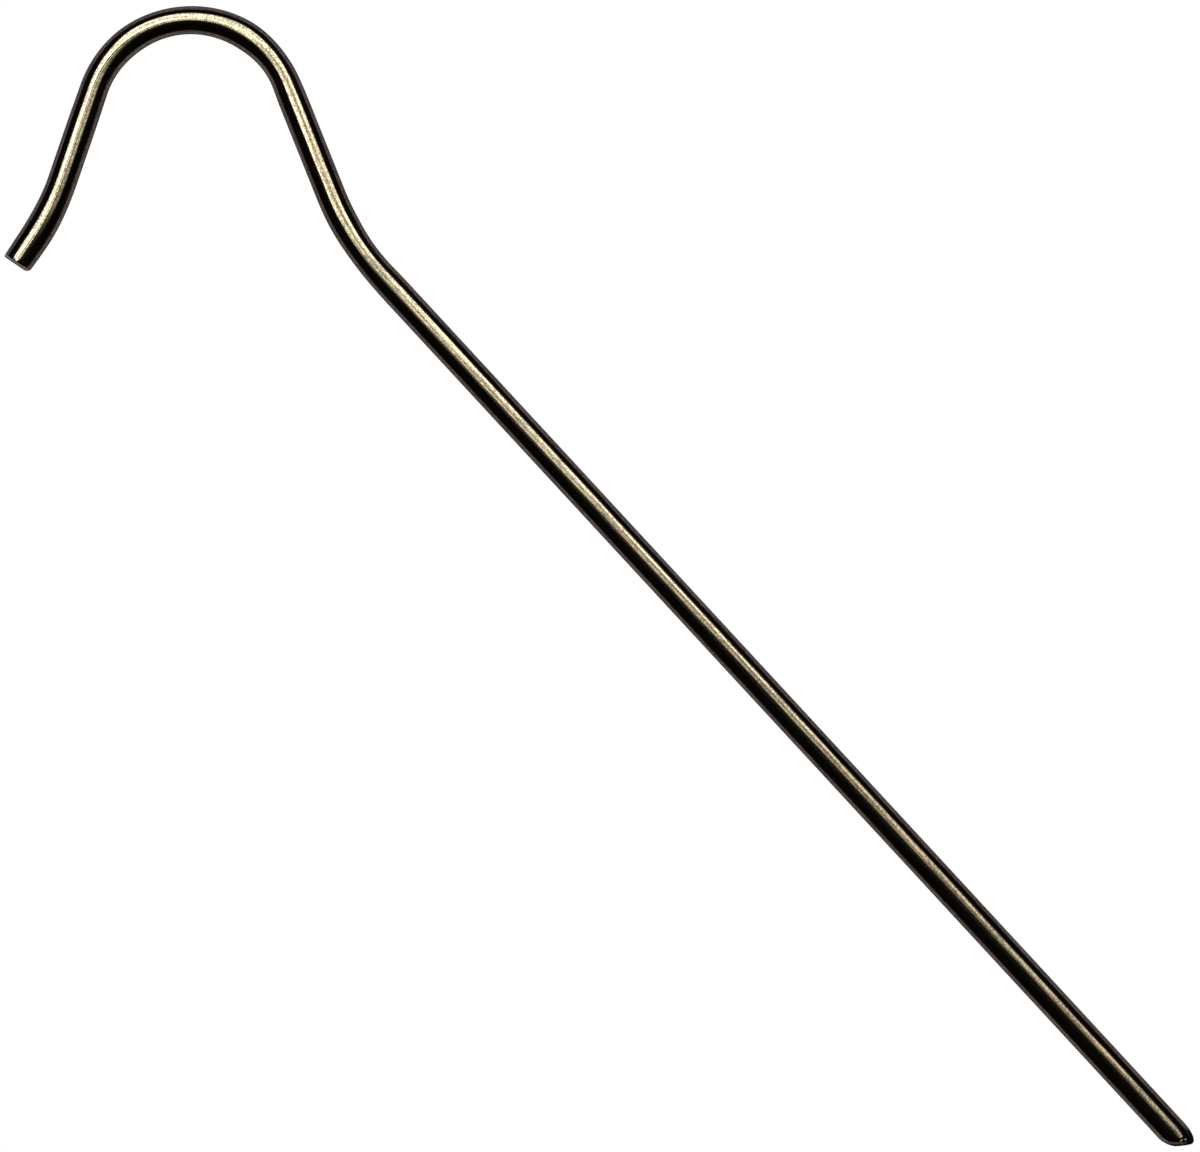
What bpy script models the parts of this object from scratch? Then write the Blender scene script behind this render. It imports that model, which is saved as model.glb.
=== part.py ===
"""Bent-rod tent stake: one length of round titanium rod, cut, pointed and bent to a hook.

The stake lies on the ground plane with its shank along +X and its point at the +X end. The
hook opens towards -Y. The origin is the middle of the underside of its bounding box. Metres.
"""

import math
from dataclasses import dataclass

import bmesh
import bpy
from mathutils import Matrix, Vector

MM = 0.001

# Driving dimensions of the bent rod.
ROD_DIAMETER = 3.15 * MM
OVERALL_LENGTH = 165.1 * MM
LIP_LENGTH = 2.9 * MM
FLARE_RADIUS = 27.7 * MM
FLARE_TURN = math.radians(15.4)
FREE_LEG_LENGTH = 10.2 * MM
HOOK_RADIUS = 11.0 * MM
HOOK_TURN = math.radians(139.2)
NECK_LEG_LENGTH = 12.6 * MM
NECK_RADIUS = 29.0 * MM
NECK_TURN = math.radians(20.9)

# How far the bending tool changes the rod's width in the plane of each bend.
FLARE_WIDENING = 0.05
HOOK_FLATTENING = -0.04
NECK_FLATTENING = -0.05

# Fineness of the solid.
ROD_SIDES = 32
BEND_STEP = math.radians(3.6)
STRAIGHT_STEP = 12.0 * MM
ROUNDING_RINGS = 8

ROD_RADIUS = ROD_DIAMETER / 2


@dataclass(frozen=True)
class Straight:
    """A straight length of the rod."""

    length: float


@dataclass(frozen=True)
class Bend:
    """An arc of the rod. A positive turn is to the left, seen from above."""

    radius: float
    turn: float
    widening: float


@dataclass(frozen=True)
class CutEnd:
    """A flat cut across the rod, whose edge is rounded by quarter ellipses.

    The face runs back by face_slope for each unit across, from the left of the rod to its
    right. Each rounding is (across, along): its reach in from the side and back from the face.
    """

    face_slope: float
    left_rounding: tuple
    right_rounding: tuple


@dataclass(frozen=True)
class Station:
    """A place on the rod's centre line, with the rod's relative width there."""

    position: Vector
    heading: float
    width: float = 1.0

    def matrix(self):
        """The frame of a cross-section: X to the rod's right, Y up, Z along the rod."""
        along = Vector((math.cos(self.heading), math.sin(self.heading), 0.0))
        up = Vector((0.0, 0.0, 1.0))
        right = along.cross(up)
        turned = Matrix((right, up, along)).transposed().to_4x4()
        return Matrix.Translation(self.position) @ turned

    def section(self):
        """The matrix that places the round section here, at its width in the bend's plane."""
        return self.matrix() @ Matrix.Diagonal((self.width, 1.0, 1.0, 1.0))


SHEARED_END = CutEnd(
    face_slope=0.0,
    left_rounding=(0.17 * MM, 0.17 * MM),
    right_rounding=(0.50 * MM, 0.50 * MM),
)
POINT = CutEnd(
    face_slope=0.70,
    left_rounding=(1.13 * MM, 3.03 * MM),
    right_rounding=(0.90 * MM, 1.40 * MM),
)


def hook_pieces():
    """The rod from its sheared end to the start of the shank, in order."""
    return [
        Straight(LIP_LENGTH),
        Bend(FLARE_RADIUS, FLARE_TURN, FLARE_WIDENING),
        Straight(FREE_LEG_LENGTH),
        Bend(HOOK_RADIUS, -HOOK_TURN, HOOK_FLATTENING),
        Straight(NECK_LEG_LENGTH),
        Bend(NECK_RADIUS, NECK_TURN, NECK_FLATTENING),
    ]


def start_heading():
    """The direction at the sheared end that brings the shank out along +X."""
    return HOOK_TURN - FLARE_TURN - NECK_TURN


def straight_stations(start, piece):
    """Stations along a straight, after its start."""
    along = Vector((math.cos(start.heading), math.sin(start.heading), 0.0))
    count = math.ceil(piece.length / STRAIGHT_STEP)
    return [
        Station(start.position + along * (piece.length * step / count), start.heading)
        for step in range(1, count + 1)
    ]


def bend_stations(start, piece):
    """Stations along a bend, after its start. Its width eases in and out again."""
    side = math.copysign(1.0, piece.turn)
    count = math.ceil(abs(piece.turn) / BEND_STEP)
    to_centre = Vector((-math.sin(start.heading), math.cos(start.heading), 0.0)) * side
    centre = start.position + to_centre * piece.radius
    stations = []
    for step in range(1, count + 1):
        share = step / count
        heading = start.heading + piece.turn * share
        outward = Vector((math.sin(heading), -math.cos(heading), 0.0)) * side
        width = 1.0 + piece.widening * math.sin(math.pi * share) ** 2
        stations.append(Station(centre + outward * piece.radius, heading, width))
    return stations


def follow(pieces, start):
    """Stations along a run of straights and bends, the start included."""
    stations = [start]
    for piece in pieces:
        walk = bend_stations if isinstance(piece, Bend) else straight_stations
        stations.extend(walk(stations[-1], piece))
    return stations


def shank_length(hook_stations):
    """What is left of the overall length, from the crown of the hook to the point."""
    crown_reach = min(station.position.x for station in hook_stations) - ROD_RADIUS
    return OVERALL_LENGTH - (hook_stations[-1].position.x - crown_reach)


def end_rings(end):
    """Sections of a cut end, from the full round of the rod to the edge of its flat face.

    Each is an affine change of the round section: narrower, shifted and sheared, so the last
    one is flat. Z is 0 at the tip and runs back along the rod below it.
    """
    left_across, left_along = end.left_rounding
    right_across, right_along = end.right_rounding
    rings = []
    for step in range(ROUNDING_RINGS + 1):
        angle = 0.5 * math.pi * step / ROUNDING_RINGS
        inset = 1.0 - math.cos(angle)
        set_back = 1.0 - math.sin(angle)
        left = -(ROD_RADIUS - left_across * inset)
        right = ROD_RADIUS - right_across * inset
        left_along_rod = -end.face_slope * left - left_along * set_back
        right_along_rod = -end.face_slope * right - right_along * set_back
        middle = (left + right) / 2
        half_width = (right - left) / 2
        shear = (right_along_rod - left_along_rod) / (right - left)
        height = ROD_RADIUS - (left_across + right_across) / 2 * inset
        rings.append(
            Matrix(
                (
                    (half_width / ROD_RADIUS, 0.0, 0.0, middle),
                    (0.0, height / ROD_RADIUS, 0.0, 0.0),
                    (shear * half_width / ROD_RADIUS, 0.0, 1.0, (left_along_rod + right_along_rod) / 2),
                    (0.0, 0.0, 0.0, 1.0),
                )
            )
        )
    tip = max(ring[2][3] + abs(ring[2][0]) * ROD_RADIUS for ring in rings)
    return [Matrix.Translation((0.0, 0.0, -tip)) @ ring for ring in rings]


def rod_sections():
    """Every section of the rod, from the face of the sheared end to the face of the point."""
    start = Station(Vector((0.0, 0.0, ROD_RADIUS)), start_heading())
    hook_stations = follow(hook_pieces(), start)
    shank = Straight(shank_length(hook_stations))
    stations = hook_stations + straight_stations(hook_stations[-1], shank)

    facing_back = Matrix.Diagonal((1.0, 1.0, -1.0, 1.0))
    first = stations[0].matrix()
    last = stations[-1].matrix()
    sheared_rings = [first @ facing_back @ ring for ring in reversed(end_rings(SHEARED_END))]
    point_rings = [last @ ring for ring in end_rings(POINT)]
    return sheared_rings + [station.section() for station in stations[1:-1]] + point_rings


def sweep_rod(sections):
    """Extrude a circle from section to section, and close it with a flat face at each end."""
    mesh = bmesh.new()
    bmesh.ops.create_circle(mesh, segments=ROD_SIDES, radius=ROD_RADIUS, matrix=sections[0])
    edges = mesh.edges[:]
    for previous, section in zip(sections, sections[1:]):
        extruded = bmesh.ops.extrude_edge_only(mesh, edges=edges)["geom"]
        edges = [item for item in extruded if isinstance(item, bmesh.types.BMEdge)]
        edges = [edge for edge in edges if edge.is_boundary]
        corners = [item for item in extruded if isinstance(item, bmesh.types.BMVert)]
        bmesh.ops.transform(mesh, matrix=section @ previous.inverted(), verts=corners)
    bmesh.ops.holes_fill(mesh, edges=mesh.edges[:], sides=0)
    bmesh.ops.recalc_face_normals(mesh, faces=mesh.faces[:])
    return mesh


def centre_on_ground(mesh):
    """Move the middle of the mesh's bounding box over the origin, and leave its height."""
    for axis in range(2):
        values = [vertex.co[axis] for vertex in mesh.verts]
        middle = (min(values) + max(values)) / 2
        shift = Vector((0.0, 0.0, 0.0))
        shift[axis] = -middle
        bmesh.ops.translate(mesh, vec=shift, verts=mesh.verts[:])


def titanium():
    """Bare drawn titanium with a satin grain."""
    material = bpy.data.materials.new("satin_drawn_titanium")
    material.use_nodes = True
    shader = material.node_tree.nodes["Principled BSDF"]
    shader.inputs["Base Color"].default_value = (0.56, 0.50, 0.41, 1.0)
    shader.inputs["Metallic"].default_value = 1.0
    shader.inputs["Roughness"].default_value = 0.24
    return material


def make_bent_rod():
    """The whole stake, which is one piece of rod."""
    mesh = sweep_rod(rod_sections())
    centre_on_ground(mesh)
    data = bpy.data.meshes.new("bent_rod")
    mesh.to_mesh(data)
    mesh.free()
    data.shade_smooth()
    data.set_sharp_from_angle(angle=math.radians(40))
    data.materials.append(titanium())
    rod = bpy.data.objects.new("bent_rod", data)
    bpy.context.scene.collection.objects.link(rod)
    return rod


def main():
    for old in list(bpy.data.objects):
        bpy.data.objects.remove(old)
    make_bent_rod()


main()
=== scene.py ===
"""Looks of a bent-rod tent stake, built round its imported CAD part.

The stake is one drawn titanium rod. Its fine surface is made as a maker would make the stake: a
straight blank is cut and pointed, given its draw lines, tool marks and burrs, and then bent along
the centre line. Geometry Nodes do that; the finish is a procedural titanium. Metres throughout.
"""

from __future__ import annotations

import logging
import math
from dataclasses import dataclass, fields
from enum import Enum
from typing import Any, ClassVar

import bpy
from mathutils import Matrix, Vector


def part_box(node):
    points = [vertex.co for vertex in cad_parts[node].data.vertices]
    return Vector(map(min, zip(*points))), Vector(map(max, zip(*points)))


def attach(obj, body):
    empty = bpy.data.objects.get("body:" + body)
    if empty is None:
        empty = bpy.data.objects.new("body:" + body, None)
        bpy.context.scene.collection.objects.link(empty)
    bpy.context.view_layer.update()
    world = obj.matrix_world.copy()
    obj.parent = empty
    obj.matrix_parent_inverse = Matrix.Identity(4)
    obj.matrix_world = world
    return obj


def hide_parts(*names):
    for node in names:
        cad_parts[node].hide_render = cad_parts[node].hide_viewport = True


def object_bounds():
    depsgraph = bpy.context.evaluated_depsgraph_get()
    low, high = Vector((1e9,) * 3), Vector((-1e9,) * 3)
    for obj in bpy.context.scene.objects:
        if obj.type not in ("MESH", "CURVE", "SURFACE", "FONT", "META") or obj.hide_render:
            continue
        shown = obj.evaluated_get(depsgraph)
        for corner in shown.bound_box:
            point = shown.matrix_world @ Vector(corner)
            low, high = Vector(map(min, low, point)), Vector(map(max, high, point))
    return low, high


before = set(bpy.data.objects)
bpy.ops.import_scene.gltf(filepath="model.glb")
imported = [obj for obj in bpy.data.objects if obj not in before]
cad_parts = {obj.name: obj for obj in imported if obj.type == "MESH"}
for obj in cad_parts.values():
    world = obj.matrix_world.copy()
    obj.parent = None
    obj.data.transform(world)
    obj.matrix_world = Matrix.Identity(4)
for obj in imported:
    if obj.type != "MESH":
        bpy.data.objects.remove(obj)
cad_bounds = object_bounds()

log = logging.getLogger("stake")

# One millimetre, in metres.
MM = 0.001

# The attribute that holds the place of each point in the straight blank: along, right and up.
BLANK_PLACE = "blank_place"

# The numbers of a Mix node's colour sockets: its two inputs and its output.
MIX_FIRST, MIX_SECOND, MIX_RESULT = 6, 7, 2

WHITE = (1.0, 1.0, 1.0)
BLACK = (0.0, 0.0, 0.0)


# Node trees --------------------------------------


class Signal:
    """One output of a node, on which Python's arithmetic adds Math nodes to the same tree."""

    def __init__(self, graph: Graph, socket: bpy.types.NodeSocket) -> None:
        """Wrap the output of a node in a graph."""
        self.graph = graph
        self.socket = socket

    def __add__(self, other: Value) -> Signal:
        """Sum."""
        return self.graph.maths("ADD", self, other)

    def __radd__(self, other: Value) -> Signal:
        """Sum, with the number first."""
        return self.graph.maths("ADD", other, self)

    def __sub__(self, other: Value) -> Signal:
        """Difference."""
        return self.graph.maths("SUBTRACT", self, other)

    def __rsub__(self, other: Value) -> Signal:
        """Difference, with the number first."""
        return self.graph.maths("SUBTRACT", other, self)

    def __mul__(self, other: Value) -> Signal:
        """Product."""
        return self.graph.maths("MULTIPLY", self, other)

    def __rmul__(self, other: Value) -> Signal:
        """Product, with the number first."""
        return self.graph.maths("MULTIPLY", other, self)

    def __truediv__(self, other: Value) -> Signal:
        """Quotient."""
        return self.graph.maths("DIVIDE", self, other)

    def __rtruediv__(self, other: Value) -> Signal:
        """Quotient, with the number first."""
        return self.graph.maths("DIVIDE", other, self)

    def __neg__(self) -> Signal:
        """The signal with its sign changed."""
        return self.graph.maths("MULTIPLY", self, -1.0)


Value = float | Signal
Color = tuple[float, float, float] | Signal


class Graph:
    """A node tree, and the one method that adds nodes to it."""

    def __init__(self, tree: bpy.types.NodeTree) -> None:
        """Wrap a geometry, material, light or world tree, and empty it."""
        self.tree = tree
        tree.nodes.clear()

    def node(
        self,
        kind: str,
        settings: dict[str, Any] | None = None,
        sockets: dict[str | int, Any] | None = None,
    ) -> bpy.types.Node:
        """Add a node.

        Args:
            kind: The node's type name.
            settings: Properties of the node, set before its sockets.
            sockets: Values, signals or sockets for its inputs, by name or number.

        Returns:
            The new node.
        """
        made = self.tree.nodes.new(kind)
        for name, value in (settings or {}).items():
            setattr(made, name, value)
        for key, value in (sockets or {}).items():
            if isinstance(value, Signal):
                value = value.socket
            if isinstance(value, bpy.types.NodeSocket):
                self.tree.links.new(value, made.inputs[key])
            else:
                made.inputs[key].default_value = value
        return made

    def signal(self, kind: str, output: str | int = 0, **parts: Any) -> Signal:
        """Add a node with the settings and sockets that node() takes, and take one of its outputs."""
        return Signal(self, self.node(kind, **parts).outputs[output])

    def maths(self, operation: str, *values: Value) -> Signal:
        """Add a Math node on signals and numbers, in order."""
        settings = {"operation": operation}
        return self.signal("ShaderNodeMath", settings=settings, sockets=dict(enumerate(values)))

    def split(self, vector: Signal) -> tuple[Signal, Signal, Signal]:
        """Split a vector into its three signals."""
        made = self.node("ShaderNodeSeparateXYZ", sockets={0: vector})
        return tuple(Signal(self, output) for output in made.outputs)

    def join(self, x: Value, y: Value, z: Value) -> Signal:
        """Join three signals or numbers into a vector."""
        return self.signal("ShaderNodeCombineXYZ", sockets={0: x, 1: y, 2: z})

    def noise(self, place: Signal, seed: float, detail: float = 2.0, rough: float = 0.5) -> Signal:
        """Add a noise of 0 to 1 over a place.

        Args:
            place: The vector to read, already scaled so that one unit is one grain.
            seed: The fourth coordinate, which picks the pattern.
            detail: How many finer octaves it adds.
            rough: How strong they are.

        Returns:
            The noise.
        """
        return self.signal(
            "ShaderNodeTexNoise",
            settings={"noise_dimensions": "4D"},
            sockets={"Vector": place, "W": seed, "Scale": 1.0, "Detail": detail, "Roughness": rough},
        )

    def matt(self, color: Color, sockets: dict[str, Any] | None = None) -> Signal:
        """Add a shader without any gloss.

        Args:
            color: Its colour.
            sockets: Values for its other inputs, by name.

        Returns:
            The shader.
        """
        base = (*color, 1.0) if isinstance(color, tuple) else color
        dull = {"Base Color": base, "Roughness": 1.0, "Specular IOR Level": 0.0}
        return self.signal("ShaderNodeBsdfPrincipled", sockets={**dull, **(sockets or {})})

    def blend(self, share: Signal, first: Color, second: Color) -> Signal:
        """Mix two colours.

        Args:
            share: 0 for the first colour, and 1 for the second.
            first: A colour, or its signal.
            second: The other one.

        Returns:
            The mixed colour.
        """
        ends = [(*color, 1.0) if isinstance(color, tuple) else color for color in (first, second)]
        return self.signal(
            "ShaderNodeMix",
            MIX_RESULT,
            settings={"data_type": "RGBA"},
            sockets={0: share, MIX_FIRST: ends[0], MIX_SECOND: ends[1]},
        )

    def ramp(self, value: Signal, low: float, high: float, at_low: Value, at_high: Value) -> Signal:
        """Carry a value smoothly from one range into another, and hold it at both ends.

        Args:
            value: The signal to read.
            low: Where the ramp starts.
            high: Where it ends.
            at_low: The result at and before its start.
            at_high: The result at and after its end.

        Returns:
            The result.
        """
        return self.signal(
            "ShaderNodeMapRange",
            settings={"interpolation_type": "SMOOTHSTEP"},
            sockets={0: value, 1: low, 2: high, 3: at_low, 4: at_high},
        )


def sine(angle: Value) -> Value:
    """Sine of a number or a signal."""
    return angle.graph.maths("SINE", angle) if isinstance(angle, Signal) else math.sin(angle)


def cosine(angle: Value) -> Value:
    """Cosine of a number or a signal."""
    return angle.graph.maths("COSINE", angle) if isinstance(angle, Signal) else math.cos(angle)


def root(value: Value) -> Value:
    """Square root of a number or a signal."""
    return value.graph.maths("SQRT", value) if isinstance(value, Signal) else math.sqrt(value)


def between(value: Value, low: Value, high: Value) -> Value:
    """Hold a number or a signal between two limits.

    Args:
        value: The number or the signal.
        low: The lower limit.
        high: The upper limit.

    Returns:
        The held value.
    """
    if not isinstance(value, Signal):
        return min(max(value, low), high)
    raised = value.graph.maths("MAXIMUM", value, low)
    return value.graph.maths("MINIMUM", raised, high)


def new_material(name: str) -> tuple[bpy.types.Material, Graph]:
    """Make a material with an empty tree.

    Args:
        name: Its name.

    Returns:
        The material and its tree.
    """
    material = bpy.data.materials.new(name)
    material.use_nodes = True
    return material, Graph(material.node_tree)


def new_object(name: str, data: bpy.types.ID) -> bpy.types.Object:
    """Make an object and put it in the scene.

    Args:
        name: Its name.
        data: Its mesh, light or camera.

    Returns:
        The object.
    """
    made = bpy.data.objects.new(name, data)
    bpy.context.scene.collection.objects.link(made)
    return made


# The rod's centre line ---------------------------


class Turn(Enum):
    """The side that a bend turns to, seen from above, from the free end to the point."""

    LEFT = 1.0
    RIGHT = -1.0


@dataclass(frozen=True)
class Sized:
    """A named part of the rod, whose sizes are inputs of the node tree.

    Attributes:
        name: Its name.
    """

    name: str

    def sizes(self) -> dict[str, float]:
        """Its sizes, under its own name and theirs."""
        own = [size.name for size in fields(self)[1:]]
        return {f"{self.name} {key.replace('_', ' ')}": getattr(self, key) for key in own}

    def own(self, sizes: dict[str, Value]) -> list[Value]:
        """Its own sizes in order, from those of the whole rod."""
        return [sizes[name] for name in self.sizes()]


@dataclass(frozen=True)
class Straight(Sized):
    """A straight length of the rod.

    Attributes:
        run: Its length.
    """

    run: float

    def length(self, sizes: dict[str, Value]) -> Value:
        """Its length along the centre line."""
        return self.own(sizes)[0]

    def walk(self, inside: Value, heading: Value, sizes: dict[str, Value]) -> tuple[Value, Value, Value]:
        """Go a distance into it: the shift in X and Y, and no change of heading."""
        return inside * cosine(heading), inside * sine(heading), 0.0


@dataclass(frozen=True)
class Bend(Sized):
    """An arc of the rod.

    Attributes:
        bend_radius: The radius of its centre line.
        degrees: How far it turns.
        towards: The side that it turns to.
    """

    bend_radius: float
    degrees: float
    towards: Turn

    def sizes(self) -> dict[str, float]:
        """Its named sizes."""
        return {f"{self.name} radius": self.bend_radius, f"{self.name} turn": math.radians(self.degrees)}

    def length(self, sizes: dict[str, Value]) -> Value:
        """Its length along the centre line."""
        radius, turn = self.own(sizes)
        return radius * turn

    def walk(self, inside: Value, heading: Value, sizes: dict[str, Value]) -> tuple[Value, Value, Value]:
        """Go a distance into it.

        Args:
            inside: The distance from its start.
            heading: The direction at its start, in radians.
            sizes: The sizes of the whole rod.

        Returns:
            The shift in X and Y, and the change of heading.
        """
        side = self.towards.value
        radius = self.own(sizes)[0]
        turned = inside / radius * side
        ahead = heading + turned
        shift_x = (sine(ahead) - sine(heading)) * (radius * side)
        shift_y = (cosine(heading) - cosine(ahead)) * (radius * side)
        return shift_x, shift_y, turned


@dataclass(frozen=True)
class ToolMark(Sized):
    """A place where a tool changed the rod's width in the plane of its bends.

    Attributes:
        at: How far its middle lies from the free end.
        reach: How far it reaches along the rod, to either side.
        widening: The relative change of width in its middle.
    """

    at: float
    reach: float
    widening: float

    def change(self, along: Value, sizes: dict[str, Value]) -> Value:
        """The relative change of width at a distance along the rod.

        Args:
            along: The distance from the free end.
            sizes: The sizes of the whole rod.

        Returns:
            The change, which is 0 outside the mark.
        """
        middle, reach, widening = self.own(sizes)
        far = (along - middle) / reach
        hump = 1.0 - between(far * far, 0.0, 1.0)
        return hump * hump * widening


@dataclass(frozen=True)
class Burr(Sized):
    """A small flat crumb of metal that the cut left standing on top of the rod.

    Attributes:
        from_tip: How far it lies before the tip.
        to_left: How far it lies to the left of the centre line.
        half_length: Its reach along the rod.
        half_width: Its reach across it.
        height: The height of its middle above the centre line.
        lean: How far its top falls for each unit to the left.
        steepness: How steeply its flat top falls off at its outline.
        top_share: The share of the radius over which it grows in, from the middle height up.
    """

    steepness: ClassVar[float] = 3.0
    top_share: ClassVar[float] = 0.2

    from_tip: float
    to_left: float
    half_length: float
    half_width: float
    height: float
    lean: float

    def lift(self, to_tip: Value, right: Value, up: Value, sizes: dict[str, Value]) -> Value:
        """How far it lifts a place on the rod.

        Args:
            to_tip: The distance left to the tip.
            right: The place to the right of the centre line.
            up: The height above the centre line.
            sizes: The sizes of the whole rod.

        Returns:
            The lift.
        """
        from_tip, to_left, half_length, half_width, height, lean = self.own(sizes)
        along = (to_tip - from_tip) / half_length
        off_middle = right + to_left
        across = off_middle / half_width
        inside = between((1.0 - along * along - across * across) * self.steepness, 0.0, 1.0)
        on_top = between(up / (sizes["Rod radius"] * self.top_share), 0.0, 1.0)
        top = height + off_middle * lean
        return (top - up) * inside * on_top


@dataclass(frozen=True)
class CutEnd(Sized):
    """A flat cut across the rod, whose edge is rounded by quarter ellipses.

    The face runs back by face_slope for each unit across, from the left of the rod to its
    right. Each rounding reaches in from the side by "across" and back from the face by "along".

    Attributes:
        face_slope: How far the face runs back for each unit to the right.
        left_across: How far the left rounding reaches in.
        left_along: How far it reaches back.
        right_across: How far the right rounding reaches in.
        right_along: How far it reaches back.
        crown_start: The share of the rounding's length over which the top is still whole.
        crown_curve: The share of the rest over which the top curves down, before it runs straight.
        crown_drop: How far the top has come down at the face.
    """

    face_slope: float
    left_across: float
    left_along: float
    right_across: float
    right_along: float
    crown_start: float
    crown_curve: float
    crown_drop: float

    def shape(
        self, across: Value, up: Value, turned: Value, share: Value, sizes: dict[str, Value]
    ) -> tuple[Value, Value, Value]:
        """Place a point of the round section on one ring of the cut.

        Args:
            across: The point's place to the right in a circle of radius 1.
            up: Its height in that circle.
            turned: 0 where the rod is still round, and 1 at the edge of the face.
            share: 1 for a ring of the rounding, and less for a ring inside the flat face.
            sizes: The sizes of the whole rod.

        Returns:
            The place to the right, the height, and the distance back from the tip.
        """
        radius = sizes["Rod radius"]
        slope, left_across, left_along, right_across, right_along, *crown_sizes = self.own(sizes)
        crown_start, crown_curve, crown_drop = crown_sizes

        # The quarter ellipse: how far in from the side, and how far back from the face.
        angle = turned * (math.pi / 2)
        inset = 1.0 - cosine(angle)
        ahead = sine(angle)
        set_back = 1.0 - ahead

        # The top curves down first, and then runs straight to the face.
        crown = between((ahead - crown_start) / (1.0 - crown_start), 0.0, 1.0)
        curved = between(crown, 0.0, crown_curve)
        crown_inset = (curved * curved / (crown_curve * 2.0) + crown - curved) / (1.0 - crown_curve * 0.5)

        # The ring's two sides, and where the tip lies before the face's middle.
        left = left_across * inset - radius
        right = radius - right_across * inset
        left_back = slope * left + left_along * set_back
        right_back = slope * right + right_along * set_back
        middle = (left + right) * 0.5
        half_width = (right - left) * 0.5
        height = radius - crown_drop * crown_inset
        tip = slope * (radius - left_across) - left_along
        tip = tip + root(slope * slope * left_across * left_across + left_along * left_along)

        offset = half_width * across * share
        lean = (right_back - left_back) * 0.5 * across * share
        back = (left_back + right_back) * 0.5 + lean + tip
        return middle + offset, height * up * share, back


# The stake ---------------------------------------


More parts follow.
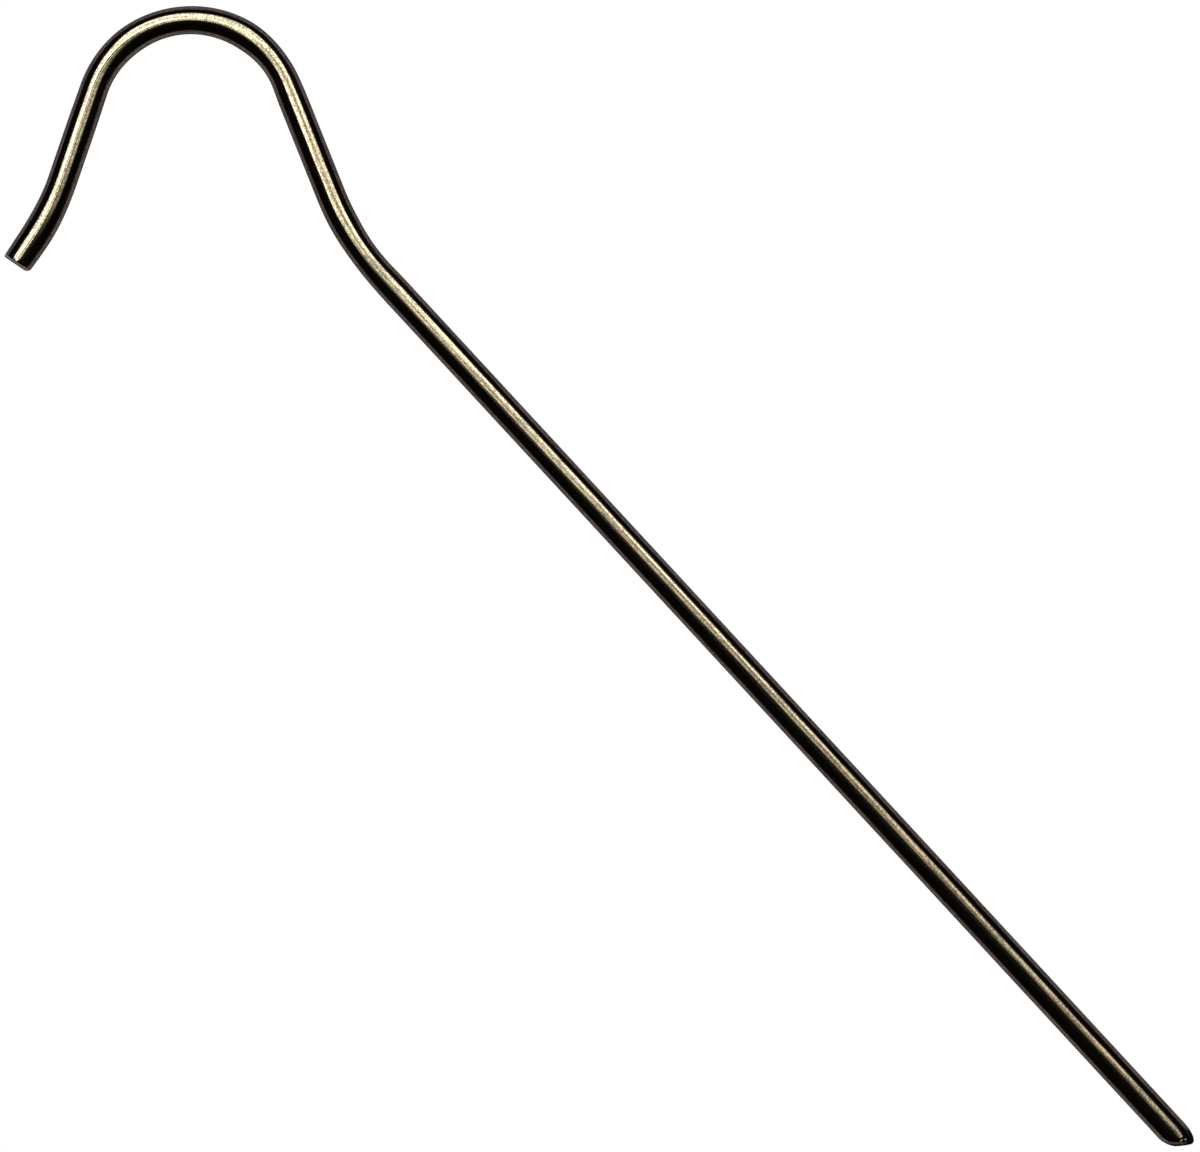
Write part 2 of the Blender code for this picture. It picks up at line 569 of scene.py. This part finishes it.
@dataclass
class BentRod:
    """The whole stake: one drawn rod, sheared, pointed and bent to a flared hook.

    Attributes:
        name: Its name.
        node: The CAD node that it stands for.
        diameter: The rod's diameter.
        lip_to_shank: The straights and bends from the free end to the shank.
        tool_marks: Where the tools changed its width.
        sheared_end: The cut at the free end.
        point: The cut at the end that goes into the ground.
        burrs: What the cut left standing at the point.
        sides: Corners round the rod.
        rings: Sections along it.
        face_rings: Sections inside each flat face.
        face_hole: The radius of the innermost of those, where 1 is the step between two.
        sheared_rings: Sections of the sheared end's rounding.
        point_rings: Sections of the point's rounding.
        line_depth: How deep the draw lines are.
        line_width: How far apart they are.
        line_length: How long they run.
        line_seed: Which pattern of draw lines it has.
    """

    name: str = "titanium_rod"
    node: str = "bent_rod"
    diameter: float = 3.15 * MM
    lip_to_shank: tuple[Straight | Bend, ...] = (
        Straight("Lip", 2.9 * MM),
        Bend("Flare", 27.7 * MM, 15.4, Turn.LEFT),
        Straight("Free leg", 10.2 * MM),
        Bend("Hook", 11.0 * MM, 139.2, Turn.RIGHT),
        Straight("Neck leg", 12.6 * MM),
        Bend("Neck", 29.0 * MM, 20.9, Turn.LEFT),
    )
    tool_marks: tuple[ToolMark, ...] = (
        ToolMark("Flare press", 4.2 * MM, 5.5 * MM, 0.055),
        ToolMark("Hook entry grip", 22.0 * MM, 6.0 * MM, -0.032),
        ToolMark("Crown squeeze", 33.0 * MM, 7.5 * MM, -0.045),
        ToolMark("Hook exit grip", 44.9 * MM, 4.5 * MM, -0.062),
        ToolMark("Neck grip", 67.4 * MM, 5.0 * MM, -0.055),
    )
    sheared_end: CutEnd = CutEnd(
        name="Sheared end",
        face_slope=0.0,
        left_across=0.17 * MM,
        left_along=0.17 * MM,
        right_across=0.58 * MM,
        right_along=0.55 * MM,
        crown_start=0.0,
        crown_curve=0.35,
        crown_drop=0.50 * MM,
    )
    point: CutEnd = CutEnd(
        name="Point",
        face_slope=0.70,
        left_across=1.13 * MM,
        left_along=3.03 * MM,
        right_across=0.90 * MM,
        right_along=1.40 * MM,
        crown_start=0.50,
        crown_curve=1.0,
        crown_drop=0.95 * MM,
    )
    burrs: tuple[Burr, ...] = (
        Burr("Cross burr", 1.16 * MM, 0.10 * MM, 0.13 * MM, 0.25 * MM, 1.49 * MM, 0.36),
        Burr("Side burr", 0.95 * MM, 0.46 * MM, 0.14 * MM, 0.20 * MM, 1.37 * MM, 0.34),
        Burr("Tip burr", 0.58 * MM, 0.16 * MM, 0.13 * MM, 0.20 * MM, 1.06 * MM, 0.36),
    )
    sides: int = 150
    rings: int = 640
    face_rings: int = 6
    face_hole: float = 0.1
    sheared_rings: int = 14
    point_rings: int = 60
    line_depth: float = 0.004 * MM
    line_width: float = 0.35 * MM
    line_length: float = 14.0 * MM
    line_seed: float = 3.7

    def pieces(self) -> list[Straight | Bend]:
        """The whole centre line, with the shank that the CAD part's length leaves room for.

        Returns:
            The straights and bends in order, from the free end to the point.
        """
        sizes: dict[str, Value] = {}
        for piece in self.lip_to_shank:
            sizes.update(piece.sizes())
        heading = self.start_heading(sizes)
        x = 0.0
        crown = 0.0
        for piece in self.lip_to_shank:
            if isinstance(piece, Bend) and piece.name == "Hook":
                quarter = (heading - math.pi / 2) * piece.bend_radius
                crown = x + piece.walk(quarter, heading, sizes)[0] - self.diameter / 2
            shift_x, _, turned = piece.walk(piece.length(sizes), heading, sizes)
            x += shift_x
            heading += turned
        low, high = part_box(self.node)
        return [*self.lip_to_shank, Straight("Shank", (high[0] - low[0]) - (x - crown))]

    def start_heading(self, sizes: dict[str, Value]) -> Value:
        """The direction at the free end that brings the shank out along +X.

        Args:
            sizes: The named sizes, as numbers or signals.

        Returns:
            The direction, in radians.
        """
        heading: Value = 0.0
        for piece in self.lip_to_shank:
            if isinstance(piece, Bend):
                heading = heading - sizes[f"{piece.name} turn"] * piece.towards.value
        return heading

    def sizes(self) -> dict[str, float]:
        """Every named size that the node tree takes.

        Returns:
            The sizes by name.
        """
        sizes = {
            "Rod radius": self.diameter / 2,
            "Line depth": self.line_depth,
            "Line width": self.line_width,
            "Line length": self.line_length,
            "Line seed": self.line_seed,
            "Sides": float(self.sides),
            "Rings": float(self.rings),
            "Face rings": float(self.face_rings),
            "Sheared rings": float(self.sheared_rings),
            "Point rings": float(self.point_rings),
        }
        for part in (*self.pieces(), *self.tool_marks, self.sheared_end, self.point, *self.burrs):
            sizes.update(part.sizes())
        return sizes

    def blank_place(self, graph: Graph, sizes: dict[str, Value]) -> Signal:
        """Turn a plain tube's points into the straight blank's, cut and pointed.

        The plain tube has a radius of 1, and its sections are 1 apart along X.

        Args:
            graph: The tree.
            sizes: The named sizes as signals.

        Returns:
            The place in the blank: along it, to its right, and up.
        """
        ring, left, up = graph.split(graph.signal("GeometryNodeInputPosition"))
        section = (-left, up)
        last_ring = sizes["Rings"] - 1.0
        faces = sizes["Face rings"]
        sheared = sizes["Sheared rings"]
        pointed = sizes["Point rings"]
        start_right, start_up, start_back = self.end_place(self.sheared_end, section, ring, sheared, sizes)
        from_tip = last_ring - ring
        point_right, point_up, point_back = self.end_place(self.point, section, from_tip, pointed, sizes)
        first = faces + sheared
        last = last_ring - faces - pointed
        share = between((ring - first) / (last - first), 0.0, 1.0)
        along = start_back * (1.0 - share) + (self.whole_length(sizes) - point_back) * share

        # Away from an end its own shape is the plain rod, which is counted twice in the sums.
        radius = sizes["Rod radius"]
        right = start_right + point_right - section[0] * radius
        return graph.join(along, right, start_up + point_up - up * radius)

    def end_place(
        self,
        cut: CutEnd,
        section: tuple[Value, Value],
        from_end: Signal,
        rounds: Value,
        sizes: dict[str, Value],
    ) -> tuple[Value, Value, Value]:
        """Shape the rings at one end.

        Args:
            cut: The end's cut.
            section: The point's place in a circle of radius 1, to the right and up.
            from_end: The number of its ring, counted from that end.
            rounds: How many rings the cut's rounding has.
            sizes: The named sizes as signals.

        Returns:
            The place to the right, the height, and the distance back from the tip.
        """
        faces = sizes["Face rings"]
        share = between((from_end + self.face_hole) / faces, 0.0, 1.0)
        turned = 1.0 - between((from_end - faces) / rounds, 0.0, 1.0)
        return cut.shape(*section, turned, share, sizes)

    def whole_length(self, sizes: dict[str, Value]) -> Value:
        """The length of the centre line.

        Args:
            sizes: The named sizes, as numbers or signals.

        Returns:
            The length.
        """
        length: Value = 0.0
        for piece in self.pieces():
            length = piece.length(sizes) + length
        return length

    def surface_place(self, graph: Graph, blank: Signal, sizes: dict[str, Value]) -> Signal:
        """Give the blank its draw lines, tool marks and burrs, and bend it.

        Args:
            graph: The tree.
            blank: The place in the blank.
            sizes: The named sizes as signals.

        Returns:
            The place on the bent rod.
        """
        along, right, up = graph.split(blank)
        radius = sizes["Rod radius"]
        stretched = graph.join(
            along / sizes["Line length"], right / sizes["Line width"], up / sizes["Line width"]
        )
        lines = graph.noise(stretched, sizes["Line seed"], detail=1.0)
        swell = 1.0 - lines * sizes["Line depth"] / radius
        width = swell
        for mark in self.tool_marks:
            width = width + mark.change(along, sizes)
        to_tip = self.whole_length(sizes) - along
        lift: Value = 0.0
        for burr in self.burrs:
            lift = burr.lift(to_tip, right, up, sizes) + lift

        # Each piece of the centre line adds its own shift and turn, as far as the point lies in it.
        x: Value = 0.0
        y: Value = 0.0
        heading = self.start_heading(sizes)
        turned_so_far: Value = heading
        start: Value = 0.0
        for piece in self.pieces():
            length = piece.length(sizes)
            inside = between(along - start, 0.0, length)
            shift_x, shift_y, turned = piece.walk(inside, heading, sizes)
            x = x + shift_x
            y = y + shift_y
            turned_so_far = turned_so_far + turned
            if isinstance(piece, Bend):
                heading = heading + sizes[f"{piece.name} turn"] * piece.towards.value
            start = start + length

        out = right * width
        return graph.join(
            x + out * sine(turned_so_far), y - out * cosine(turned_so_far), radius + up * swell + lift
        )

    def tree(self, material: bpy.types.Material) -> tuple[bpy.types.NodeTree, dict[str, str]]:
        """Build the tree that makes the rod.

        Args:
            material: The rod's finish.

        Returns:
            The tree, and the identifier of each named input.
        """
        tree = bpy.data.node_groups.new("bent_rod_maker", "GeometryNodeTree")
        tree.interface.new_socket("Geometry", in_out="OUTPUT", socket_type="NodeSocketGeometry")
        identifiers = {}
        for name in self.sizes():
            socket = tree.interface.new_socket(name, in_out="INPUT", socket_type="NodeSocketFloat")
            identifiers[name] = socket.identifier
        graph = Graph(tree)
        entry = graph.node("NodeGroupInput")
        sizes: dict[str, Value] = {name: Signal(graph, entry.outputs[name]) for name in identifiers}

        far_end = graph.join(sizes["Rings"] - 1.0, 0.0, 0.0)
        rail = graph.signal("GeometryNodeCurvePrimitiveLine", sockets={"End": far_end})
        rail = graph.signal("GeometryNodeResampleCurve", sockets={"Curve": rail, "Count": sizes["Rings"]})
        ring = graph.signal(
            "GeometryNodeCurvePrimitiveCircle", sockets={"Resolution": sizes["Sides"], "Radius": 1.0}
        )
        tube = graph.signal(
            "GeometryNodeCurveToMesh",
            sockets={"Curve": rail, "Profile Curve": ring, "Fill Caps": True},
        )
        blank = graph.signal(
            "GeometryNodeStoreNamedAttribute",
            settings={"data_type": "FLOAT_VECTOR", "domain": "POINT"},
            sockets={"Geometry": tube, "Name": BLANK_PLACE, "Value": self.blank_place(graph, sizes)},
        )
        place = graph.signal(
            "GeometryNodeInputNamedAttribute",
            settings={"data_type": "FLOAT_VECTOR"},
            sockets={"Name": BLANK_PLACE},
        )
        bent = graph.signal(
            "GeometryNodeSetPosition",
            sockets={"Geometry": blank, "Position": self.surface_place(graph, place, sizes)},
        )
        smooth = graph.signal("GeometryNodeSetShadeSmooth", sockets={"Geometry": bent})
        real = graph.signal("GeometryNodeRealizeInstances", sockets={"Geometry": smooth})
        dressed = graph.signal("GeometryNodeSetMaterial", sockets={"Geometry": real, "Material": material})
        graph.node("NodeGroupOutput", sockets={"Geometry": dressed})
        return tree, identifiers

    def build(self, material: bpy.types.Material) -> bpy.types.Object:
        """Make the rod as a plain mesh where the CAD part lies.

        Args:
            material: Its finish.

        Returns:
            The finished object.
        """
        maker = new_object("rod_maker", bpy.data.meshes.new("rod_maker"))
        tree, identifiers = self.tree(material)
        modifier = maker.modifiers.new("rod_maker", "NODES")
        modifier.node_group = tree
        for name, value in self.sizes().items():
            modifier[identifiers[name]] = value
        depsgraph = bpy.context.evaluated_depsgraph_get()
        mesh = bpy.data.meshes.new_from_object(maker.evaluated_get(depsgraph), depsgraph=depsgraph)
        maker.modifiers.remove(modifier)
        bpy.data.objects.remove(maker)
        mesh.transform(Matrix.Translation(self.shift_onto_frame(mesh)))
        mesh.name = self.name
        return new_object(self.name, mesh)

    def shift_onto_frame(self, mesh: bpy.types.Mesh) -> Vector:
        """The level shift that brings the mesh's box over the CAD node's.

        Args:
            mesh: The bent rod, where its free end starts at the origin.

        Returns:
            The shift.
        """
        low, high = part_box(self.node)
        shift = Vector((0.0, 0.0, 0.0))
        for axis in range(2):
            places = [vertex.co[axis] for vertex in mesh.vertices]
            shift[axis] = (low[axis] + high[axis] - min(places) - max(places)) / 2
        return shift


# Finish ------------------------------------------


@dataclass(frozen=True)
class DrawnTitanium:
    """Bare drawn titanium: satin, straw-coloured and speckled, with draw lines, a matt painted reflection
    on the sheared edge, and matt painted shade on the sheared face and the point's flanks.

    Attributes:
        name: The material's name.
        slot: The record's material slot. It is not used.
        bright: Its colour on the bright grains.
        dark: Its colour in the pits between them.
        roughness: The roughness on its smoothest and its roughest spots.
        grain: The size of a grain.
        grain_height: How high the grain stands.
        grain_seed: Which pattern of grains it has.
        grain_range: The noise where a grain is at its roughest, and where it is at its smoothest.
        line_width: The distance between fine draw lines.
        line_length: How long they run.
        line_height: How high they stand.
        line_seed: Which pattern of lines it has.
        line_rough: How strong their finer octaves are.
        line_share: The share of the lines in the colour, against the grain's.
        tone_range: The noise where the colour is all dark, and where it is all bright.
        cut: The colour of a matt strip on the sheared edge at the free end, a painted reflection that
            stands in for the grey table which that edge reflects.
        cut_reach: Where that strip starts and ends, from the end's face.
        cut_fade: Where its colour fades in and out, as shares of where it starts and ends.
        cut_clearing: Where the bare metal starts to show, as a share of where it ends.
        scale: A near-black matt colour, painted shade on the sheared face and on the flanks of the point,
            painted over the table's reflection so that those edges look dark.
        scale_reach: Where that painted shade starts to clear, and where it has cleared, before the tip.
        scale_top: The heights where it starts to clear and has cleared, as shares of the radius.
    """

    name: str = "drawn_titanium"
    slot: str = "titanium"
    bright: tuple[float, float, float] = (0.92, 0.81, 0.59)
    dark: tuple[float, float, float] = (0.24, 0.215, 0.185)
    roughness: tuple[float, float] = (0.08, 0.14)
    grain: float = 0.15 * MM
    grain_height: float = 0.0012 * MM
    grain_seed: float = 1.3
    grain_range: tuple[float, float] = (0.35, 0.65)
    line_width: float = 0.22 * MM
    line_length: float = 6.0 * MM
    line_height: float = 0.0026 * MM
    line_seed: float = 8.1
    line_rough: float = 0.6
    line_share: float = 0.45
    tone_range: tuple[float, float] = (0.38, 0.62)
    # Painted reflection: the lilac grey of the table that the sheared edge reflects.
    cut: tuple[float, float, float] = (0.38, 0.36, 0.40)
    cut_reach: tuple[float, float] = (0.13 * MM, 0.28 * MM)
    cut_fade: tuple[float, float] = (0.6, 2.0)
    cut_clearing: float = 0.85
    # Painted shade: near black, painted over the table's reflection on the sheared face and the point's
    # flanks.
    scale: tuple[float, float, float] = (0.012, 0.011, 0.011)
    scale_reach: tuple[float, float] = (1.1 * MM, 2.3 * MM)
    scale_top: tuple[float, float] = (0.60, 0.75)

    def build(self, rod_length: float, rod_radius: float) -> bpy.types.Material:
        """Make the material.

        Args:
            rod_length: The length of the blank.
            rod_radius: Its radius.

        Returns:
            The material.
        """
        material, graph = new_material(self.name)
        blank = graph.signal("ShaderNodeAttribute", "Vector", settings={"attribute_name": BLANK_PLACE})
        along, right, up = graph.split(blank)
        bare = self.bare_metal(graph, along, right, up)
        # Painted light at the ends: a matt lilac-grey strip just behind the sheared end's face is a
        # painted reflection of the table, and near-black matt on that face and on the point's flanks and
        # underside is painted shade.
        painted_reflection_start, painted_reflection_end = self.cut_reach
        fade_in, fade_out = self.cut_fade
        painted_reflection_strip = graph.ramp(along, painted_reflection_start * fade_in, painted_reflection_start, 0.0, 1.0)
        painted_reflection_strip = painted_reflection_strip * graph.ramp(along, painted_reflection_end, painted_reflection_end * fade_out, 1.0, 0.0)
        matt = graph.matt(graph.blend(painted_reflection_strip, self.scale, self.cut))
        covered, cleared = self.scale_top
        off_shaded_flank = graph.ramp(up, rod_radius * covered, rod_radius * cleared, 0.0, 1.0)
        past_painted_shade = graph.ramp(rod_length - along, *self.scale_reach, 0.0, 1.0)
        off_painted_sheared_end = graph.ramp(along, painted_reflection_end * self.cut_clearing, painted_reflection_end, 0.0, 1.0)
        # 0 where the painted reflection and the painted shade cover the metal, 1 for bare metal.
        unpainted_share = off_painted_sheared_end * graph.maths("MAXIMUM", off_shaded_flank, past_painted_shade)
        surface = graph.signal("ShaderNodeMixShader", sockets={0: unpainted_share, 1: matt, 2: bare})
        graph.node("ShaderNodeOutputMaterial", sockets={"Surface": surface})
        return material

    def bare_metal(self, graph: Graph, along: Signal, right: Signal, up: Signal) -> Signal:
        """Add the bare metal.

        Args:
            graph: The material's tree.
            along: The place along the blank.
            right: The place to its right.
            up: The height above its middle.

        Returns:
            The shader.
        """
        grain_place = graph.join(along / self.grain, right / self.grain, up / self.grain)
        line_place = graph.join(along / self.line_length, right / self.line_width, up / self.line_width)
        grain = graph.noise(grain_place, self.grain_seed, detail=1.0)
        lines = graph.noise(line_place, self.line_seed, rough=self.line_rough)
        mixed = grain * (1.0 - self.line_share) + lines * self.line_share
        tone = graph.ramp(mixed, *self.tone_range, 0.0, 1.0)
        metal = graph.blend(tone, self.dark, self.bright)
        smooth, rough = self.roughness
        satin = graph.ramp(grain, *self.grain_range, rough, smooth)
        height = grain * self.grain_height + lines * self.line_height
        bump = graph.signal("ShaderNodeBump", sockets={"Strength": 1.0, "Distance": 1.0, "Height": height})
        return graph.signal(
            "ShaderNodeBsdfPrincipled",
            sockets={"Base Color": metal, "Metallic": 1.0, "Roughness": satin, "Normal": bump},
        )


# Studio ------------------------------------------


@dataclass(frozen=True)
class Camera:
    """A long lens straight above the stake, turned so that the shank runs down to the right.

    Attributes:
        shank_angle: The slope of the shank, downwards to the view's right, in degrees.
        width: The width of the view at the rod.
        lens: The focal length, in millimetres.
        sensor: The sensor's width, in millimetres.
        clip: The nearest and the farthest distance that it sees.
        centre_from_point: From the point's end back to the middle of the view, as a share of length.
        centre_from_edge: From the hook's outer edge in to the middle, as a share of the width.
    """

    shank_angle: float = 47.26
    width: float = 128.08 * MM
    lens: float = 300.0
    sensor: float = 36.0
    clip: tuple[float, float] = (0.01, 20.0)
    centre_from_point: float = 0.5295
    centre_from_edge: float = 0.3606

    def axes(self) -> tuple[Vector, Vector]:
        """The level directions of the view's right and top.

        Returns:
            The two directions.
        """
        angle = math.radians(self.shank_angle)
        right = Vector((math.cos(angle), math.sin(angle), 0.0))
        return right, Vector((-right.y, right.x, 0.0))

    def centre(self) -> Vector:
        """The middle of the view, at the height of the rod's middle.

        Returns:
            The place.
        """
        low, high = cad_bounds
        x = high[0] - (high[0] - low[0]) * self.centre_from_point
        y = high[1] - (high[1] - low[1]) * self.centre_from_edge
        return Vector((x, y, (low[2] + high[2]) / 2))

    def above(self, to_right: float, to_top: float, height: float) -> Vector:
        """The place so far from the view's middle, to its right and its top, and so high over the rod."""
        right, top = self.axes()
        return self.centre() + right * to_right + top * to_top + Vector((0.0, 0.0, height))

    def facing_down(self) -> Matrix:
        """The turn of what faces straight down, with its own top towards the view's top."""
        right, top = self.axes()
        return Matrix((right, top, right.cross(top))).transposed().to_4x4()

    def build(self) -> bpy.types.Object:
        """Make the camera and give it to the scene.

        Returns:
            The camera.
        """
        data = bpy.data.cameras.new("camera")
        data.sensor_width = self.sensor
        data.lens = self.lens
        data.clip_start, data.clip_end = self.clip
        distance = self.width * self.lens / self.sensor
        camera = new_object("camera", data)
        camera.matrix_world = Matrix.Translation(self.above(0.0, 0.0, distance)) @ self.facing_down()
        bpy.context.scene.camera = camera
        return camera


@dataclass(frozen=True)
class Softbox:
    """A soft rectangular light that faces straight down.

    Attributes:
        name: Its name.
        right: How far its middle lies to the right of the middle of the view.
        top: How far it lies towards the view's top.
        height: Its height above the rod.
        half_width: Half of its width, measured where its edge is half as bright.
        half_depth: Half of its depth.
        turn: How far it is turned, in degrees.
        width_fade: The share of its half width over which the edge fades, on either side.
        depth_fade: The same for its depth.
        radiance: How bright its middle looks.
        color: Its colour.
    """

    name: str
    right: float
    top: float
    height: float
    half_width: float
    half_depth: float
    turn: float
    width_fade: float
    depth_fade: float
    radiance: float
    color: tuple[float, float, float]

    def build(self, camera: Camera) -> bpy.types.Object:
        """Make the light.

        Args:
            camera: The camera whose view places it.

        Returns:
            The light.
        """
        width = self.half_width * (1.0 + self.width_fade) * 2.0
        depth = self.half_depth * (1.0 + self.depth_fade) * 2.0
        data = bpy.data.lights.new(self.name, "AREA")
        data.shape = "RECTANGLE"
        data.size = width
        data.size_y = depth
        data.energy = self.radiance * width * depth * math.pi
        data.color = self.color
        self.fade(data)
        place = camera.above(self.right, self.top, self.height)
        turned = camera.facing_down() @ Matrix.Rotation(math.radians(self.turn), 4, "Z")
        light = new_object(self.name, data)
        light.matrix_world = Matrix.Translation(place) @ turned
        light.visible_camera = False
        return light

    def fade(self, data: bpy.types.Light) -> None:
        """Fade the light out towards its edges.

        Args:
            data: The light's data.
        """
        data.use_nodes = True
        graph = Graph(data.node_tree)
        across, along, _ = graph.split(graph.signal("ShaderNodeNewGeometry", "Parametric"))
        strength: Value = 1.0
        for place, share in ((across, self.width_fade), (along, self.depth_fade)):
            from_middle = graph.maths("ABSOLUTE", place * 2.0 - 1.0) * (1.0 + share)
            strength = strength * graph.ramp(from_middle, 1.0 - share, 1.0 + share, 1.0, 0.0)
        light = graph.signal("ShaderNodeEmission", sockets={"Strength": strength})
        graph.node("ShaderNodeOutputLight", sockets={"Surface": light})


@dataclass(frozen=True)
class CameraHood:
    """The round black hood that hides the camera, which the rod reflects as a dark patch.

    Attributes:
        right: How far its middle lies to the right of the middle of the view.
        top: How far it lies towards the view's top.
        height: Its height above the rod.
        radius: Its radius.
        sides: The corners of its outline.
        felt: Its colour.
    """

    right: float = -0.181
    top: float = 0.240
    height: float = 1.066
    radius: float = 0.138
    sides: int = 64
    felt: tuple[float, float, float] = (0.005, 0.005, 0.005)

    def build(self, camera: Camera) -> bpy.types.Object:
        """Make the hood.

        Args:
            camera: The camera whose view places it.

        Returns:
            The hood.
        """
        right, top = camera.axes()
        middle = camera.above(self.right, self.top, self.height)
        corners = []
        for number in range(self.sides):
            angle = math.tau * number / self.sides
            corners.append(middle + (right * math.cos(angle) + top * math.sin(angle)) * self.radius)
        mesh = bpy.data.meshes.new("camera_hood")
        mesh.from_pydata(corners, [], [tuple(range(self.sides))])
        material, graph = new_material("black_felt")
        graph.node("ShaderNodeOutputMaterial", sockets={"Surface": graph.matt(self.felt)})
        mesh.materials.append(material)
        hood = new_object("camera_hood", mesh)
        hood.visible_camera = False
        return hood


@dataclass(frozen=True)
class Room:
    """The dark studio round a white light table, as the rod reflects it.

    Attributes:
        wall: The colour of the dark room above the horizon.
        table: The colour that the rod's flanks pick up from below.
        table_to_wall: The heights of a direction, from -1 to 1, where the table gives way to the wall.
        shade_to_table: The heights where the table comes out of the dark straight below.
        floor_glow: How bright the light table is.
        floor_size: Its width.
    """

    wall: tuple[float, float, float] = (0.003, 0.0027, 0.003)
    table: tuple[float, float, float] = (0.135, 0.115, 0.132)
    table_to_wall: tuple[float, float] = (-0.30, -0.05)
    shade_to_table: tuple[float, float] = (-0.95, -0.70)
    floor_glow: float = 1.0
    floor_size: float = 6.0

    def build_floor(self) -> bpy.types.Object:
        """Make the light table, a plain white surface that glows evenly and takes no shadow.

        Returns:
            The floor.
        """
        half = self.floor_size / 2
        mesh = bpy.data.meshes.new("floor")
        corners = [(-half, -half, 0.0), (half, -half, 0.0), (half, half, 0.0), (-half, half, 0.0)]
        mesh.from_pydata(corners, [], [(0, 1, 2, 3)])
        material, graph = new_material("light_table")
        glow = {"Emission Color": (*WHITE, 1.0), "Emission Strength": self.floor_glow}
        graph.node("ShaderNodeOutputMaterial", sockets={"Surface": graph.matt(BLACK, glow)})
        mesh.materials.append(material)
        floor = new_object("floor", mesh)
        floor.visible_glossy = False
        return floor

    def build_world(self) -> None:
        """Make the surroundings: dark above, dim below, and white where the camera sees them."""
        world = bpy.data.worlds.new("studio")
        bpy.context.scene.world = world
        world.use_nodes = True
        graph = Graph(world.node_tree)
        _, _, height = graph.split(graph.signal("ShaderNodeTexCoord", "Generated"))
        below = graph.ramp(height, *self.table_to_wall, 1.0, 0.0)
        lit = graph.ramp(height, *self.shade_to_table, 0.0, 1.0)
        seen = graph.blend(below * lit, self.wall, self.table)
        to_camera = graph.signal("ShaderNodeLightPath", "Is Camera Ray")
        color = graph.blend(to_camera, seen, WHITE)
        background = graph.signal("ShaderNodeBackground", sockets={"Color": color, "Strength": 1.0})
        graph.node("ShaderNodeOutputWorld", sockets={"Surface": background})


@dataclass(frozen=True)
class Studio:
    """Camera, lights, light table and surroundings.

    Attributes:
        camera: The camera.
        room: The light table and the surroundings.
        hood: The camera's hood.
        lights: The softboxes and the fill card.
    """

    camera: Camera = Camera()
    room: Room = Room()
    hood: CameraHood = CameraHood()
    lights: tuple[Softbox, ...] = (
        Softbox(
            name="key_softbox",
            right=-0.040,
            top=0.288,
            height=0.252,
            half_width=0.240,
            half_depth=0.177,
            turn=7.0,
            width_fade=0.06,
            depth_fade=0.14,
            radiance=1.75,
            color=(0.97, 1.0, 0.82),
        ),
        Softbox(
            name="side_softbox",
            right=1.040,
            top=0.794,
            height=1.460,
            half_width=0.160,
            half_depth=0.700,
            turn=-36.0,
            width_fade=0.40,
            depth_fade=0.88,
            radiance=0.93,
            color=(1.0, 0.91, 0.74),
        ),
        Softbox(
            name="overhead_softbox",
            right=-0.630,
            top=0.457,
            height=2.383,
            half_width=0.600,
            half_depth=0.533,
            turn=30.0,
            width_fade=0.08,
            depth_fade=0.37,
            radiance=2.7,
            color=(1.0, 0.97, 0.82),
        ),
        Softbox(
            name="fill_card",
            right=0.051,
            top=0.081,
            height=0.269,
            half_width=0.060,
            half_depth=0.076,
            turn=-22.0,
            width_fade=0.60,
            depth_fade=0.25,
            radiance=0.68,
            color=(1.0, 0.93, 0.81),
        ),
    )

    def build(self) -> None:
        """Make the studio."""
        bpy.context.scene.view_settings.view_transform = "Standard"
        self.camera.build()
        for light in self.lights:
            light.build(self.camera)
        self.room.build_floor()
        self.hood.build(self.camera)
        self.room.build_world()


def main() -> None:
    """Build the stake and its studio, and report each piece."""
    logging.basicConfig(level=logging.INFO, format="%(name)s: %(message)s")
    finish = DrawnTitanium()
    stake = BentRod()
    sizes = stake.sizes()
    rod = stake.build(finish.build(stake.whole_length(sizes), sizes["Rod radius"]))
    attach(rod, "root")
    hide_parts(stake.node)
    log.info("%s: %d faces", rod.name, len(rod.data.polygons))
    Studio().build()
    log.info("studio ready")


if __name__ == "__main__":
    main()
